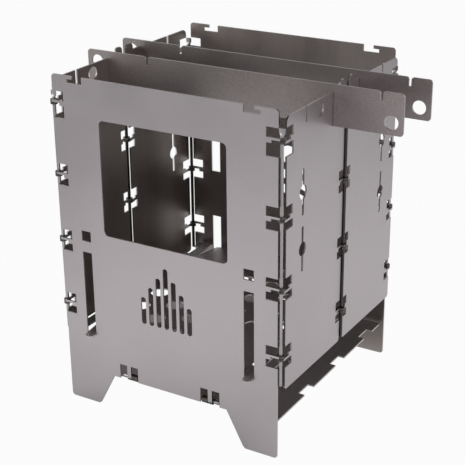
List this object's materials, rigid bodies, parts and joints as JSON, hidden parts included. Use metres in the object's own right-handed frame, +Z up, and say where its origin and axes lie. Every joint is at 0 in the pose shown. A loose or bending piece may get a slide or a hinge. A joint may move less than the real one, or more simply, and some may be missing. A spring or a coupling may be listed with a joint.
{
  "type": "twig stove",
  "caption": "Free-standing folding box stove for twigs: footed sheet-metal walls joined by pins, a feeding window, hinged floor, lift-out grate and pot bars.",
  "frame": {"origin": "on the ground under the middle of the whole stove, the pot bars' ends included, so the box stands 14.8 mm left of it", "axes": "+Z up, -Y towards the front panel with the feeding window, +X to the right seen from the front"},
  "size_m": [0.207, 0.154, 0.2046],
  "materials": {
    "wall_sheet": "satin blasted titanium sheet",
    "fire_sheet": "satin titanium sheet, slightly darker",
    "bar_sheet": "satin titanium sheet with lighter cut edges",
    "pin_wire": "drawn wire"
  },
  "bodies": {
    "front": {"front_panel": "wall_sheet", "front_left_pin": "pin_wire", "front_right_pin": "pin_wire", "floor_pin": "pin_wire"},
    "right_front": {"right_front_leaf": "wall_sheet", "right_middle_pin": "pin_wire"},
    "right_rear": {"right_rear_leaf": "wall_sheet"},
    "back": {"back_panel": "wall_sheet", "floor_ledges": "wall_sheet", "back_left_pin": "pin_wire", "back_right_pin": "pin_wire"},
    "left_front": {"left_front_leaf": "wall_sheet", "left_middle_pin": "pin_wire"},
    "left_rear": {"left_rear_leaf": "wall_sheet"},
    "floor": {"floor_plate": "fire_sheet"},
    "grate": {"fire_grate": "fire_sheet"},
    "front_bar": {"front_pot_bar": "bar_sheet"},
    "rear_bar": {"rear_pot_bar": "bar_sheet"}
  },
  "joints": [
    {"name": "wall_fold", "type": "hinge", "parent": "front", "child": "right_front", "pos_m": [0.05825, -0.0703, 0.1], "axis": [0, 0, 1], "range_deg": [0, 4.5]},
    {"name": "right_middle_fold", "type": "hinge", "parent": "right_front", "child": "right_rear", "pos_m": [0.0605, 0, 0.1], "axis": [0, 0, 1], "range_deg": [-9, 0]},
    {"name": "back_right_fold", "type": "hinge", "parent": "right_rear", "child": "back", "pos_m": [0.05825, 0.0703, 0.1], "axis": [0, 0, 1], "range_deg": [0, 4.5]},
    {"name": "left_front_fold", "type": "hinge", "parent": "front", "child": "left_front", "pos_m": [-0.08785, -0.0703, 0.1], "axis": [0, 0, 1], "range_deg": [-4.5, 0]},
    {"name": "left_middle_fold", "type": "hinge", "parent": "left_front", "child": "left_rear", "pos_m": [-0.0901, 0, 0.1], "axis": [0, 0, 1], "range_deg": [0, 9]},
    {"name": "floor_swing", "type": "hinge", "parent": "front", "child": "floor", "pos_m": [-0.0148, -0.0703, 0.0236], "axis": [1, 0, 0], "range_deg": [0, 8]},
    {"name": "grate_lift", "type": "slide", "parent": "front", "child": "grate", "axis": [0, 0, 1], "range_m": [0, 0.021]},
    {"name": "front_bar_lift", "type": "slide", "parent": "front", "child": "front_bar", "axis": [0, 0, 1], "range_m": [0, 0.06]},
    {"name": "rear_bar_lift", "type": "slide", "parent": "back", "child": "rear_bar", "axis": [0, 0, 1], "range_m": [0, 0.06]}
  ],
  "couplings": [
    {"joint": "right_middle_fold", "follows": "wall_fold", "ratio": -2},
    {"joint": "back_right_fold", "follows": "wall_fold", "ratio": 1},
    {"joint": "left_front_fold", "follows": "wall_fold", "ratio": -1},
    {"joint": "left_middle_fold", "follows": "wall_fold", "ratio": 2}
  ]
}
